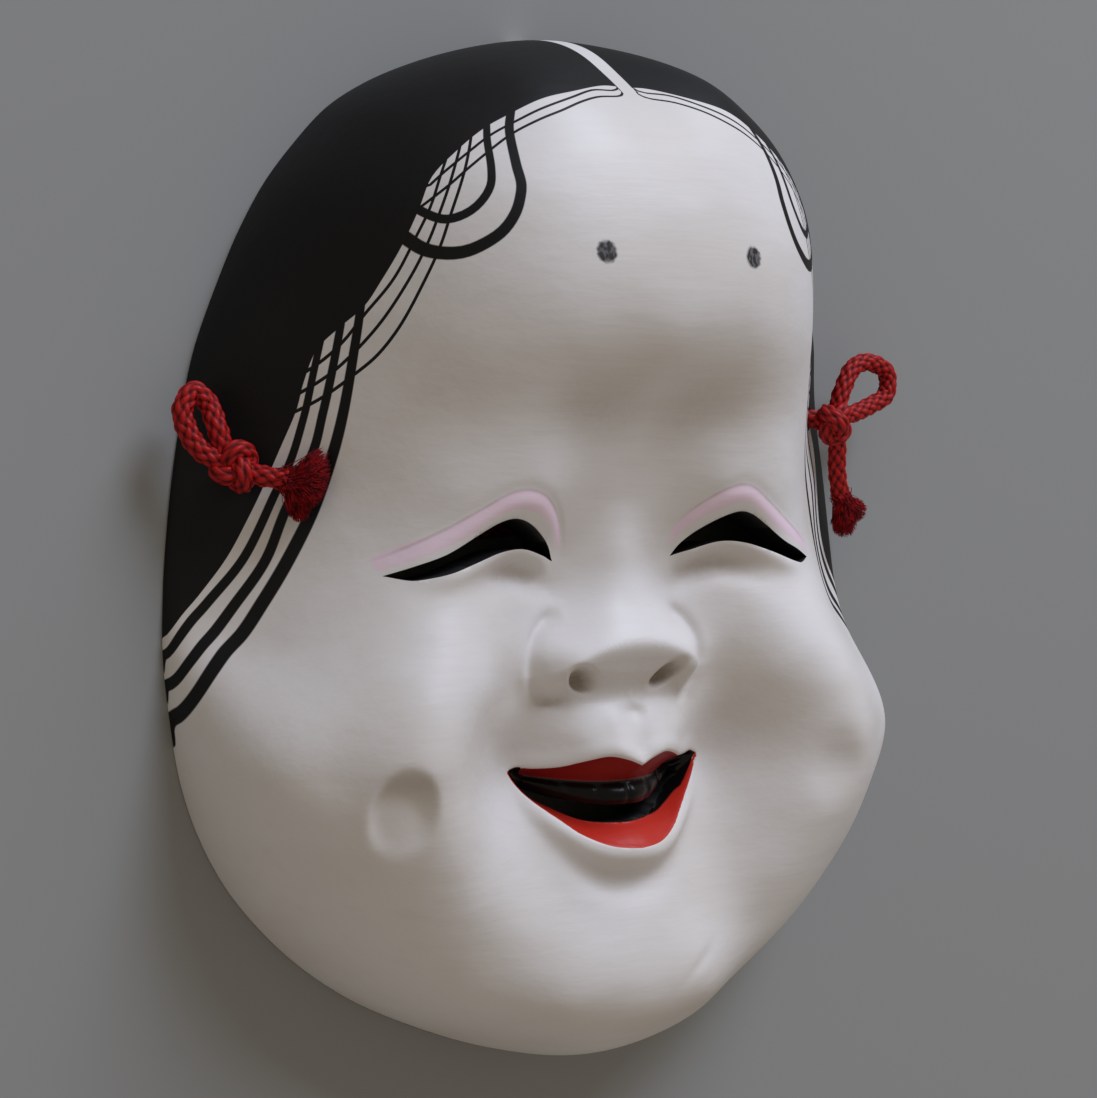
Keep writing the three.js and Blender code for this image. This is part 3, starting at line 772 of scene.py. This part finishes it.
FIBRE_RINGS = 6
FIBRE_SIDES = 3


def fill_lobe(points, faces, rng, root, centre, radii, turn, count):
    """Fibres from the braid's end to places near the surface of one soft lump."""
    centre = np.array(centre, float)
    forward = (centre - root) / np.linalg.norm(centre - root)
    c, s = math.cos(turn), math.sin(turn)
    sides = FIBRE_SIDES
    share = np.linspace(0, 1, FIBRE_RINGS)[:, None]
    ring = np.linspace(0, 2 * np.pi, sides, endpoint=False)
    while count:
        way = rng.normal(size=3)
        way /= np.linalg.norm(way)
        if way @ forward < -0.45:
            continue
        count -= 1
        reach = way * radii * rng.uniform(0.55, 1.0) ** 0.5
        end = centre + np.array([c * reach[0] - s * reach[1], s * reach[0] + c * reach[1], reach[2]])
        start = root + rng.normal(0, 0.8, 3) - forward * 0.6
        middle = 0.45 * start + 0.55 * centre + 0.35 * reach + rng.normal(0, 0.5, 3)
        path = (1 - share) ** 2 * start + 2 * share * (1 - share) * middle + share**2 * end
        path += np.sin(share * rng.uniform(3, 7)) * rng.normal(0, 0.16, 3)
        thick = rng.uniform(0.08, 0.13) * (1 - 0.5 * share)
        shell = tube_points(path, thick, ring)
        first = len(points)
        points += shell.reshape(-1, 3).tolist()
        for a in range(first, len(points) - sides, sides):
            for k in range(sides):
                m = (k + 1) % sides
                faces.append((a + k, a + m, a + sides + m, a + sides + k))
        faces.append(tuple(range(first, first + sides))[::-1])
        faces.append(tuple(range(len(points) - sides, len(points))))


# Each lump of a frayed end: its middle, its half sizes, its turn and its number of fibres
LEFT_LUMPS = [
    ((-63.9, 16, 22.8), (3.3, 6.4, 3), -0.3, 1300),
    ((-66.4, 10.8, 21.2), (2.7, 3.2, 2.2), 0.3, 700),
]
RIGHT_LUMPS = [
    ((85, 6, 9.4), (3.6, 3, 3), 0.4, 800),
    ((82.3, 3.4, 9.2), (3.2, 3.6, 3), 0.0, 900),
]
tufts = {
    "left": add_tuft("tuft_left", LEFT_TAIL[-1], LEFT_LUMPS, seed=3),
    "right": add_tuft("tuft_right", RIGHT_TAIL[-1], RIGHT_LUMPS, seed=5),
}
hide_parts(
    "cord_back", "cord_left_loop", "cord_left_tail", "cord_right_loop", "cord_right_tail")
for side in ("left", "right"):
    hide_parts(f"cord_{side}_knot")
    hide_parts(f"cord_{side}_tuft")
for piece in (cord, *knots.values(), *tufts.values()):
    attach(piece, "root")
tuple(hole_mouth(HOLES["left"]) * MM)

# The carved shell
SECTORS = 440
OUTER_RINGS = 186
INNER_RINGS = 20
FACE_MIDDLE = -30.0


def outer_points():
    """Rings of points from the middle of the face to the rim, closer together round the mouth."""
    angle = np.linspace(0, 2 * np.pi, SECTORS, endpoint=False)
    even = np.linspace(0, 1, 400)
    crowd = np.cumsum(1 + 1.8 * bell(even - 0.175, 0.085))
    crowd = (crowd - crowd[0]) / (crowd[-1] - crowd[0])
    rings = np.interp(np.linspace(0, 1, OUTER_RINGS + 1), crowd, even)
    share = np.sin(0.5 * np.pi * rings)[1:, None]
    rim = rim_radius(angle)[None]
    x = share * rim * np.cos(angle)
    y = FACE_MIDDLE + share * (rim * np.sin(angle) - FACE_MIDDLE)
    z = carved_height(x, y)
    z[-1] = 0
    middle = [[0, FACE_MIDDLE, float(face_height(0.0, FACE_MIDDLE))]]
    return np.vstack([middle, np.stack([x, y, z], -1).reshape(-1, 3)])


def inner_points():
    """Rings of points over the hollow, with the marks of the gouge."""
    angle = np.linspace(0, 2 * np.pi, SECTORS, endpoint=False)
    part = np.linspace(0, 1, INNER_RINGS + 1)
    share = (0.3 * part + 0.7 * np.sin(0.5 * np.pi * part))[1:, None]
    inset = (rim_radius(angle) - RIM_WIDTH)[None]
    x = share * inset * np.cos(angle)
    y = share * inset * np.sin(angle)
    gouge = 0.3 * np.abs(np.sin(x / 3.4 + 0.8 * np.sin(y / 17))) * ramp(1, 0.9, share)
    z = hollow_height(x, y, share) + gouge
    z[-1] = 0
    middle = [[0, 0, float(hollow_height(0.0, 0.0, 0.0))]]
    return np.vstack([middle, np.stack([x, y, z], -1).reshape(-1, 3)])


def ring_faces(rings, first, flip):
    s = np.arange(SECTORS)
    t = (s + 1) % SECTORS
    cap = np.stack([np.full(SECTORS, first), first + 1 + s, first + 1 + t], 1)
    quads = []
    for k in range(rings - 1):
        a = first + 1 + k * SECTORS
        b = a + SECTORS
        quads.append(np.stack([a + s, b + s, b + t, a + t], 1))
    quads = np.vstack(quads)
    if flip:
        cap, quads = cap[:, ::-1], quads[:, ::-1]
    return cap.tolist(), quads.tolist()


def add_prism(name, low_ring, high_ring, material, flip=False):
    n = len(low_ring)
    faces = [(i, (i + 1) % n, n + (i + 1) % n, n + i) for i in range(n)]
    faces += [tuple(range(n))[::-1], tuple(range(n, 2 * n))]
    if flip:
        faces = [face[::-1] for face in faces]
    return add_mesh(name, [*low_ring, *high_ring], faces, [material], smooth=False)


CUT_LOW = -6.0
CUT_HIGH = 90.0


def slot_cutter(name, top, bottom, start, end, side):
    """A tall prism between a top line and a bottom line over x."""
    x = np.linspace(start, end, 61)
    upper = np.stack([side * x, line(top, np.abs(x))], 1)
    lower = np.stack([side * x, line(bottom, np.abs(x)) - 0.02], 1)
    ring = np.vstack([upper, lower[::-1]])
    area = 0.5 * np.sum(ring[:, 0] * np.roll(ring[:, 1], -1) - np.roll(ring[:, 0], -1) * ring[:, 1])
    low_ring, high_ring = ([(*p, z) for p in ring] for z in (CUT_LOW, CUT_HIGH))
    return add_prism(name, low_ring, high_ring, SLIT, flip=area < 0)


HOLE_SIDES = 32
HOLE_REACH = 14.0


def hole_cutter(name, place):
    """A round rod square to the face, through a string hole."""
    radius = CORD_DIAMETER / 2 + HOLE_CLEARANCE
    axis = outward(place)
    right = Vector((0, 1, 0)).cross(axis).normalized()
    up = axis.cross(right)
    middle = hole_mouth(place)
    ring = []
    for i in range(HOLE_SIDES):
        turn = 2 * math.pi * i / HOLE_SIDES
        ring.append(middle + right * radius * math.cos(turn) + up * radius * math.sin(turn))
    low_ring, high_ring = ([tuple(p + axis * z) for p in ring] for z in (-HOLE_REACH, HOLE_REACH))
    return add_prism(name, low_ring, high_ring, WOOD)


PAINT, WOOD, SLIT, TEETH = paint_material(), wood_material(), slit_material(), teeth_material()
MATERIALS = [PAINT, WOOD, SLIT]


def add_shell():
    """The uncut shell: the face, the hollow and the flat rim between them."""
    outer, inner = outer_points(), inner_points()
    first = len(outer)
    outer_cap, outer_quads = ring_faces(OUTER_RINGS, 0, False)
    inner_cap, inner_quads = ring_faces(INNER_RINGS, first, True)
    outer_rim = 1 + (OUTER_RINGS - 1) * SECTORS
    inner_rim = first + 1 + (INNER_RINGS - 1) * SECTORS
    s = np.arange(SECTORS)
    t = (s + 1) % SECTORS
    rim = np.stack([outer_rim + s, inner_rim + s, inner_rim + t, outer_rim + t], 1).tolist()
    faces = outer_cap + outer_quads + inner_cap + inner_quads + rim
    shell = add_mesh("mask_carving", np.vstack([outer, inner]), faces, MATERIALS)
    index = np.full(len(faces), MATERIALS.index(WOOD), np.int32)
    index[:len(outer_cap) + len(outer_quads)] = MATERIALS.index(PAINT)
    shell.data.polygons.foreach_set("material_index", index)
    return shell


def cut_away(thing, cutters):
    """Take the cutters out of a piece. The walls of each cut get the cutter's material."""
    for cutter in cutters:
        cut = thing.modifiers.new(cutter.name, "BOOLEAN")
        cut.operation = "DIFFERENCE"
        cut.solver = "MANIFOLD"
        cut.material_mode = "TRANSFER"
        cut.object = cutter
    evaluated = thing.evaluated_get(bpy.context.evaluated_depsgraph_get())
    carved = bpy.data.meshes.new_from_object(evaluated)
    old = thing.data
    thing.modifiers.clear()
    thing.data = carved
    for data in (old, *(cutter.data for cutter in cutters)):
        bpy.data.meshes.remove(data)


def carve_mask():
    mask = add_shell()
    slit_start, slit_end = SLIT_TOP[0][0], SLIT_TOP[-1][0]
    cutters = [
        slot_cutter(f"cut_eye_{i}", SLIT_TOP, SLIT_BOTTOM, slit_start, slit_end, side)
        for i, side in enumerate((-1, 1))
    ]
    cutters.append(slot_cutter("cut_mouth", TEETH_EDGE, GAP_EDGE, -GAP_HALF, GAP_HALF, 1))
    cutters += [hole_cutter(f"cut_hole_{side}", place) for side, place in HOLES.items()]
    cut_away(mask, cutters)
    mask.data.name = "mask_carving"
    return mask


mask = carve_mask()

# The painting
# Places are x, y on the face, right half. A stroke's closing points only say which side is which:
# they pass where the paint is black anyway, or off the mask.
HAIRLINE = [
    (0.8, 93.6), (5, 93.6), (14.7, 91.4), (22.6, 89.3), (29.9, 85.8), (34.8, 83), (40.2, 78.7),
    (45.1, 73.5), (48, 67), (51.1, 59.4), (53.5, 54), (55.9, 49), (58.8, 45.5), (62, 41.2), (63.7, 35),
    (64.6, 29.2), (67.5, 19.9), (72, 8.7), (75.7, 0.8), (80.2, -6), (83.8, -10.6), (85.9, -14.5),
    (86.4, -17),
]
HAIR_CLOSING = [(120, -18), (120, 130), (-20, 130), (-20, 93.6)]
OVER_LOCK = [(60, 62), (54, 80), (40, 95), (20, 97)]
OVER_BROW = [(70, 36), (70, 60), (56, 80), (40, 92)]
OFF_RIM = [(120, -20), (120, 70), (66, 58)]
OVER_FRINGE_1 = [(50, 78), (40, 95), (10, 99), (2.6, 97)]
OVER_FRINGE_2 = [(52, 74), (40, 95), (10, 99), (2.6, 97)]
LOCK_OUTER = [
    (28.6, 87.4), (30.8, 82.6), (31.9, 75.6), (32, 71.6), (32.7, 69), (34, 65.9), (36.4, 62.5),
    (39.5, 60.1), (42.5, 58.7), (45.3, 58.6), (47.9, 59.5), (49.6, 61.2), (51.4, 63.4),
]
LOCK_INNER = [
    (33.5, 85), (35.1, 80.4), (36.2, 74.5), (36.9, 71.7), (38.3, 69.2), (40.6, 66.7), (42.9, 65.4),
    (44.8, 65.1), (46.6, 66), (48.6, 67.8),
]
LINE_A1 = [
    (1.6, 93.4), (3.4, 92.6), (9, 92.2), (15.8, 90), (23.7, 87.1), (29, 84.5), (34.1, 81.7), (38, 78.8),
    (43.2, 74.4), (46.4, 71.2),
]
LINE_A2 = [
    (1.6, 92.4), (2.8, 91.4), (9, 90.6), (14.5, 89), (19.7, 86.9), (24.7, 84.9), (30.4, 82),
    (34.8, 78.9), (39.8, 74.8), (42.9, 71.9), (45.6, 69.5), (48.4, 67),
]
LINE_B1 = [
    (42, 77.6), (44, 73.4), (46.4, 67.4), (48.8, 61.9), (52.1, 53.9), (55.9, 47.4), (58.5, 42.6),
    (61, 39.3), (64.5, 36),
]
LINE_B2 = [
    (39.2, 80.2), (41.6, 75.1), (45, 66.9), (47.3, 60.7), (50.1, 53.7), (54.4, 44.7), (58.8, 38),
    (61.5, 35.1), (65, 32.2),
]
LINE_B3 = [
    (36.8, 82.4), (39.1, 77.2), (43.4, 66.8), (45.6, 60.2), (48, 53.6), (51.7, 44.1), (54.3, 39.3),
    (56.9, 36.2), (59.5, 33.4), (62.2, 31), (66, 28.4),
]
LINE_C1 = [
    (61.4, 43.6), (62.4, 37), (63.5, 28.2), (65.2, 20.1), (68, 12.9), (73.2, 0.6), (79.4, -8),
    (82.3, -11.4), (84.5, -14.7), (86, -18.2), (87, -22),
]
LINE_C2 = [
    (58.8, 46.4), (59.7, 38.8), (61, 28.7), (62.2, 21.3), (66.6, 9.6), (69.9, 0.3), (75.2, -8.4),
    (78.5, -13), (81.6, -16.4), (84, -19.9), (85.5, -23.6), (86.6, -28),
]
LINE_C3 = [
    (56.2, 50), (57, 41.8), (58.3, 28.6), (59.6, 20.3), (62.1, 11), (66.5, 0.6), (70.9, -7.6),
    (74.8, -13.8), (78.7, -17.9), (81.8, -22.1), (83.8, -26.2), (84.8, -30), (85.1, -35),
]


LOCK_OUTER_WIDTHS = (1.7, 2.2, 2.9)
LOCK_INNER_WIDTHS = (1.4, 1.7, 1.9)
FINE_WIDTHS = (0.55, 0.6)
THIN_WIDTHS = (0.6, 0.7)
BROAD_WIDTHS = [(1.5, 1.8, 2.2), (1.7, 2.1, 2.6), (1.8, 2.8, 3.4)]
PARTING_HALF = ((90, 100, 108), (1.7, 1.9, 2.2))
PARTING_START = 88
BROW_SPOT = (18, 58.5)
SHARP_ANGLE = 72
STROKE_STEP = 0.8


def on_face(points, side):
    """A painted line on one side of the face, as points a short step apart.

    The right side was painted by hand as well: its forelock lies further in, and its strokes
    beside the temple further out.
    """
    flat = smooth_path([(x, y, 0) for x, y in points], STROKE_STEP)
    if side > 0:
        lock_in = 0.055 * bell(flat[:, 1] - 62, 8)
        temple_out = 0.14 * bell(flat[:, 1] - 25, 12) * ramp(58, 68, flat[:, 0])
        flat[:, 0] *= 1 - lock_in + temple_out
    x, y = side * flat[:, 0], flat[:, 1]
    z = np.where(rim_share(x, y) < 1, carved_height(x, y), 0)
    return np.column_stack([flat[:, 0], y, z])


def inside_outline(outline, u, y):
    """Which places lie inside a closed outline, by counting the edges to one side of each."""
    inside = np.zeros(len(u), bool)
    closed = np.vstack([outline, outline[:1]])
    for (x0, y0), (x1, y1) in zip(closed[:-1], closed[1:]):
        if y0 == y1:
            continue
        crosses = (y0 > y) != (y1 > y)
        inside ^= crosses & (u < x0 + (y - y0) * (x1 - x0) / (y1 - y0))
    return inside


def distance_to(line_points, p, reach):
    """Distance from each place to a line, up to reach, and how far along the line the nearest is."""
    best = np.full(len(p), reach)
    share = np.zeros(len(p))
    lengths = np.linalg.norm(np.diff(line_points, axis=0), axis=1)
    along = np.concatenate([[0], np.cumsum(lengths)])
    for i, (a, b) in enumerate(zip(line_points[:-1], line_points[1:])):
        low, high = np.minimum(a, b) - reach, np.maximum(a, b) + reach
        near = np.nonzero(np.all((p > low) & (p < high), axis=1))[0]
        if not len(near):
            continue
        d = b - a
        t = np.clip((p[near] - a) @ d / max(d @ d, 1e-9), 0, 1)
        gap = np.linalg.norm(p[near] - (a + t[:, None] * d), axis=1)
        closer = gap < best[near]
        hit = near[closer]
        best[hit] = gap[closer]
        share[hit] = (along[i] + t[closer] * lengths[i]) / along[-1]
    return best, share


def painted_edge(points, closing, p, widths=None, reach=6.0):
    """Signed distance from a painted line, in mm, or in half widths where widths are given."""
    away = np.full(len(p), reach)
    share = np.zeros(len(p))
    sign = np.ones(len(p))
    for side in (-1, 1):
        mine = np.nonzero(p[:, 0] * side >= 0)[0]
        u = np.abs(p[mine, 0])
        dense = on_face(points, side)
        outline = np.vstack([dense[:, :2], np.array(closing, float)])
        q = np.column_stack([u, p[mine, 1:]])
        away[mine], share[mine] = distance_to(dense, q, reach)
        sign[mine] = np.where(inside_outline(outline, u, p[mine, 1]), 1.0, -1.0)
    if widths is None:
        return sign * away
    half = 0.5 * np.interp(share, np.linspace(0, 1, len(widths)), widths)
    return sign * away / half


BLACK_SHIFT = 1.7


def blackened(x):
    """Upper and lower bound of the black inside the mouth. It reaches lower on the right."""
    u = np.abs(x)
    under = line(LIP_UNDER, u) + (line(LIP_TOP, u) - line(LIP_UNDER, u)) * ramp(19.5, 21.5, u)
    low = line(GAP_EDGE, np.where(x > 0, np.maximum(x - BLACK_SHIFT, 0), u))
    return under, np.maximum(low, line(LIP_BOTTOM, u) + 0.45)


def lacquer_teeth(data):
    """Give the faces of the teeth the glossy black."""
    count = len(data.polygons)
    centre, slot = np.empty(count * 3), np.empty(count, int)
    data.polygons.foreach_get("center", centre)
    data.polygons.foreach_get("material_index", slot)
    x, y = centre.reshape(-1, 3)[:, :2].T / MM
    under, low = blackened(x)
    painted = list(data.materials).index(PAINT)
    teeth = (slot == painted) & (y < under - 0.3) & (y > low + 0.5) & (np.abs(x) < 19)
    data.materials.append(TEETH)
    slot[teeth] = len(data.materials) - 1
    data.polygons.foreach_set("material_index", slot)


def paint_hair(data, p):
    x, y = p[:, 0], p[:, 1]
    hair = painted_edge(HAIRLINE, HAIR_CLOSING, p)
    lock_outer = painted_edge(LOCK_OUTER, OVER_LOCK, p, LOCK_OUTER_WIDTHS)
    lock_inner = painted_edge(LOCK_INNER, OVER_LOCK, p, LOCK_INNER_WIDTHS)
    set_attribute(data, "hair", np.column_stack([hair, lock_outer, lock_inner]))
    fringe = [painted_edge(LINE_A1, OVER_FRINGE_1, p, FINE_WIDTHS)]
    fringe.append(painted_edge(LINE_A2, OVER_FRINGE_2, p, FINE_WIDTHS))
    parting = np.abs(x) - np.interp(y, *PARTING_HALF)
    parting = np.where(y > PARTING_START, parting, 5.0)
    set_attribute(data, "lines_a", np.column_stack([*fringe, parting]))
    thin = [painted_edge(stroke, OVER_BROW, p, THIN_WIDTHS) for stroke in (LINE_B1, LINE_B2, LINE_B3)]
    set_attribute(data, "lines_b", np.column_stack(thin))
    broad = [
        painted_edge(stroke, OFF_RIM, p, widths)
        for stroke, widths in zip((LINE_C1, LINE_C2, LINE_C3), BROAD_WIDTHS)
    ]
    set_attribute(data, "lines_c", np.column_stack(broad))


def paint_eyes(data, u, y):
    crease = y - line(LID_CREASE, u)
    band = np.minimum(0.8 * ramp(42, 52, u) - crease, y - line(BAND_LOW, u))
    band = np.minimum(band, np.minimum(u - 14, 54.5 - u))
    spot = np.hypot(u - BROW_SPOT[0], (y - BROW_SPOT[1]) * 0.95)
    set_attribute(data, "eyes", np.column_stack([band, crease, spot]))


def paint_mouth(data, x, y):
    u = np.abs(x)
    within = MOUTH_HALF - u
    under, black_low = blackened(x)
    lip_up = np.minimum(np.minimum(line(LIP_TOP, u) - y, y - under), within)
    lip_low = np.minimum(np.minimum(black_low - y + 0.2, y - line(LIP_BOTTOM, u) + 0.4), within + 0.4)
    teeth = np.minimum(np.minimum(under - y + 0.1, y - black_low), within + 0.2)
    set_attribute(data, "lips", np.column_stack([lip_up, lip_low, teeth]))


def soil_and_shade(data, x, y):
    """Painted shade with some dirt in the hollows: nostrils, brow, under the eyes and nose, mouth corners,
    dimples, chin.
    """
    u = np.abs(x)
    low = line(SLIT_BOTTOM, u)
    # Darker in these hollows: painted shade, partly dirt
    grime_and_shade = 0.75 * nostril_place(x, y)
    grime_and_shade += 0.34 * np.exp(-(((u - 13) / 12) ** 2)) * bell(y - 29, 5)
    grime_and_shade += 0.4 * np.exp(-((((u - 25) / 9.5) ** 2) ** 1.3)) * bell(y - (low - 4.6), 2.2)
    grime_and_shade += 0.22 * np.exp(-((u / 17) ** 4)) * ramp(-32, -29, y) * ramp(-18, -22, y)
    grime_and_shade += 0.2 * bell(np.hypot((u - 28) / 6, (y + 40) / 4), 1)
    grime_and_shade += 0.42 * bell(u - 16.5, 3) * bell(y + 30.2, 1.1)
    grime_and_shade += 0.34 * bell(np.hypot((x + 54.8) / 5.5, (y + 42) / 1.8), 1)
    grime_and_shade += 0.24 * bell(np.hypot((x - 50) / 5, (y + 44) / 2.6), 1)
    grime_and_shade += 0.2 * np.exp(-((u / 15) ** 4)) * bell(y - (line(LIP_BOTTOM, u) - 7), 2.2)
    drawn = ramp(13.5, 19, u) * ramp(57, 47, u)
    set_attribute(data, "soil_and_shade", np.column_stack([np.clip(grime_and_shade, 0, 1), drawn, 0 * u]))


def paint(mask):
    data = mask.data
    p = np.empty(len(data.vertices) * 3)
    data.vertices.foreach_get("co", p)
    p = p.reshape(-1, 3) / MM
    x, y = p[:, 0], p[:, 1]
    paint_hair(data, p)
    paint_eyes(data, np.abs(x), y)
    paint_mouth(data, x, y)
    soil_and_shade(data, x, y)
    lacquer_teeth(data)
    data.set_sharp_from_angle(angle=math.radians(SHARP_ANGLE))


paint(mask)
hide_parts("mask")
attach(mask, "root")


# Floor and light
FLOOR_REACH = 1500
FLOOR_Z = -0.2
LIGHT_AIM = Vector((0, 0, 0.02))
SKY = (1.0, 0.89, 0.76, 1)
SKY_STRENGTH = 0.32


def add_floor():
    s = Shader("floor")
    s.finish(FLOOR_GREY, 0.9)
    turns = ((-1, -1), (1, -1), (1, 1), (-1, 1))
    corners = [(x * FLOOR_REACH, y * FLOOR_REACH, FLOOR_Z) for x, y in turns]
    floor = add_mesh("floor", corners, [(0, 1, 2, 3)], [s.material], smooth=False)


def add_light(name, place, size, power, colour):
    data = bpy.data.lights.new(name, "AREA")
    data.size = size
    data.energy = power
    data.color = colour
    light = bpy.data.objects.new(name, data)
    bpy.context.scene.collection.objects.link(light)
    light.location = place
    light.rotation_euler = (LIGHT_AIM - Vector(place)).to_track_quat("-Z", "Y").to_euler()


def add_sky():
    world = bpy.data.worlds.new("studio")
    bpy.context.scene.world = world
    world.use_nodes = True
    background = world.node_tree.nodes["Background"]
    background.inputs["Color"].default_value = SKY
    background.inputs["Strength"].default_value = SKY_STRENGTH


add_floor()
add_light("key_light", place=(0.68, 1.7, 1.35), size=0.95, power=30.5, colour=(0.73, 0.81, 1.0))
add_light("low_light", place=(1.0, 1.95, 0.75), size=0.8, power=11, colour=(0.8, 0.88, 1.0))
add_sky()
bpy.context.scene.view_settings.view_transform = "Standard"
